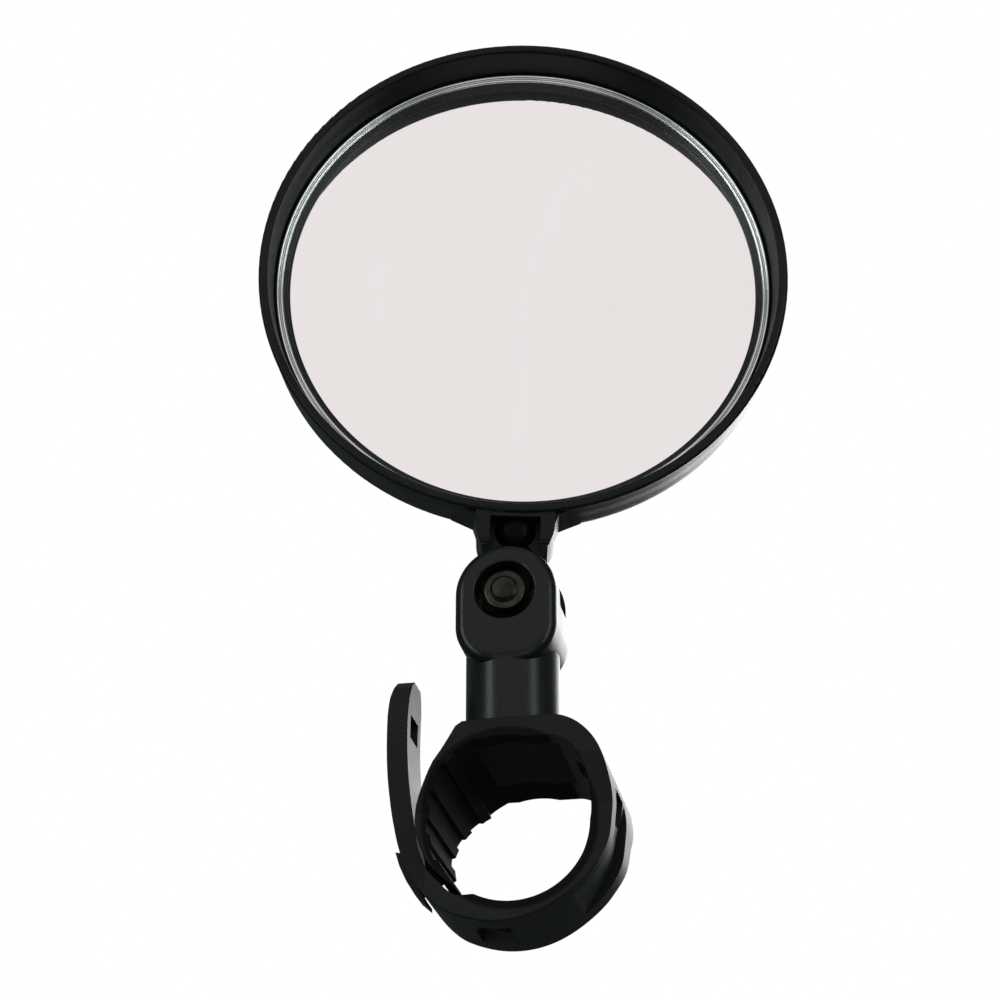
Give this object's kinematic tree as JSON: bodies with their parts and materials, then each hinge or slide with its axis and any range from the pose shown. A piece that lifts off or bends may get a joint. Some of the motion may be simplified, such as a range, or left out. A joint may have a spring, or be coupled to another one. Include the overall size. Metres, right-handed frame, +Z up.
{
  "type": "bicycle mirror",
  "caption": "Round convex handlebar mirror in a black rim on a leaning, turning and tilting post, held by a moulded strap clamp that hooks round the bar.",
  "frame": {"origin": "centre of the handlebar bore in the strap clamp", "axes": "+Y along the handlebar and away from the reflecting face, +Z up the post towards the mirror head"},
  "size_m": [0.0793, 0.0286, 0.1418],
  "materials": {
    "clamp_plastic": "soft matt black moulding, slightly flexible",
    "body_plastic": "satin black glass-filled moulding with fine grain",
    "shell_plastic": "satin black moulding with fine grain",
    "ring_plastic": "semi-gloss black with fine turned grooves",
    "ball_plastic": "polished black",
    "zinc_steel": "zinc plated",
    "dark_steel": "dull dark zinc, slightly tarnished",
    "spring_steel": "bright spring steel",
    "black_oxide": "black oxide",
    "acetal": "smooth black acetal",
    "nylon": "natural nylon",
    "mirror": "silvered convex glass",
    "film": "dark backing paint and film",
    "foam": "grey closed-cell foam tape",
    "liner_rubber": "soft matt rubber"
  },
  "bodies": {
    "clamp": {"clamp_strap": "clamp_plastic", "core_plate": "zinc_steel", "liner_pad": "liner_rubber", "swivel_bush": "acetal", "swivel_screw": "black_oxide", "swivel_spring": "spring_steel", "swivel_washer": "zinc_steel"},
    "post": {"post": "body_plastic", "pivot_bolt": "dark_steel", "pivot_washer": "dark_steel", "pivot_nut": "dark_steel", "nut_insert": "nylon"},
    "knuckle": {"knuckle": "body_plastic", "lean_washers": "nylon", "stud_pin": "zinc_steel"},
    "ball_stud": {"ball_stud": "ball_plastic"},
    "head": {"mirror_shell": "shell_plastic", "retaining_ring": "ring_plastic", "mirror_lens": "mirror", "mirror_film": "film", "adhesive_pad": "foam"}
  },
  "joints": [
    {"name": "post_swivel", "type": "hinge", "parent": "clamp", "child": "post", "pos_m": [-0.001, 0, 0.01425], "axis": [0, 0, 1], "continuous": true},
    {"name": "head_lean", "type": "hinge", "parent": "post", "child": "knuckle", "pos_m": [-0.001, 0, 0.0348], "axis": [0, 1, 0], "range_deg": [-76.8, 73.2]},
    {"name": "head_turn", "type": "hinge", "parent": "knuckle", "child": "ball_stud", "pos_m": [-0.00077, 0, 0.042], "axis": [0.0314, 0, 0.9995], "continuous": true},
    {"name": "head_tilt", "type": "hinge", "parent": "ball_stud", "child": "head", "pos_m": [-0.00064, 0, 0.04639], "axis": [0.9821, 0.1857, -0.0309], "range_deg": [-15, 13]}
  ]
}
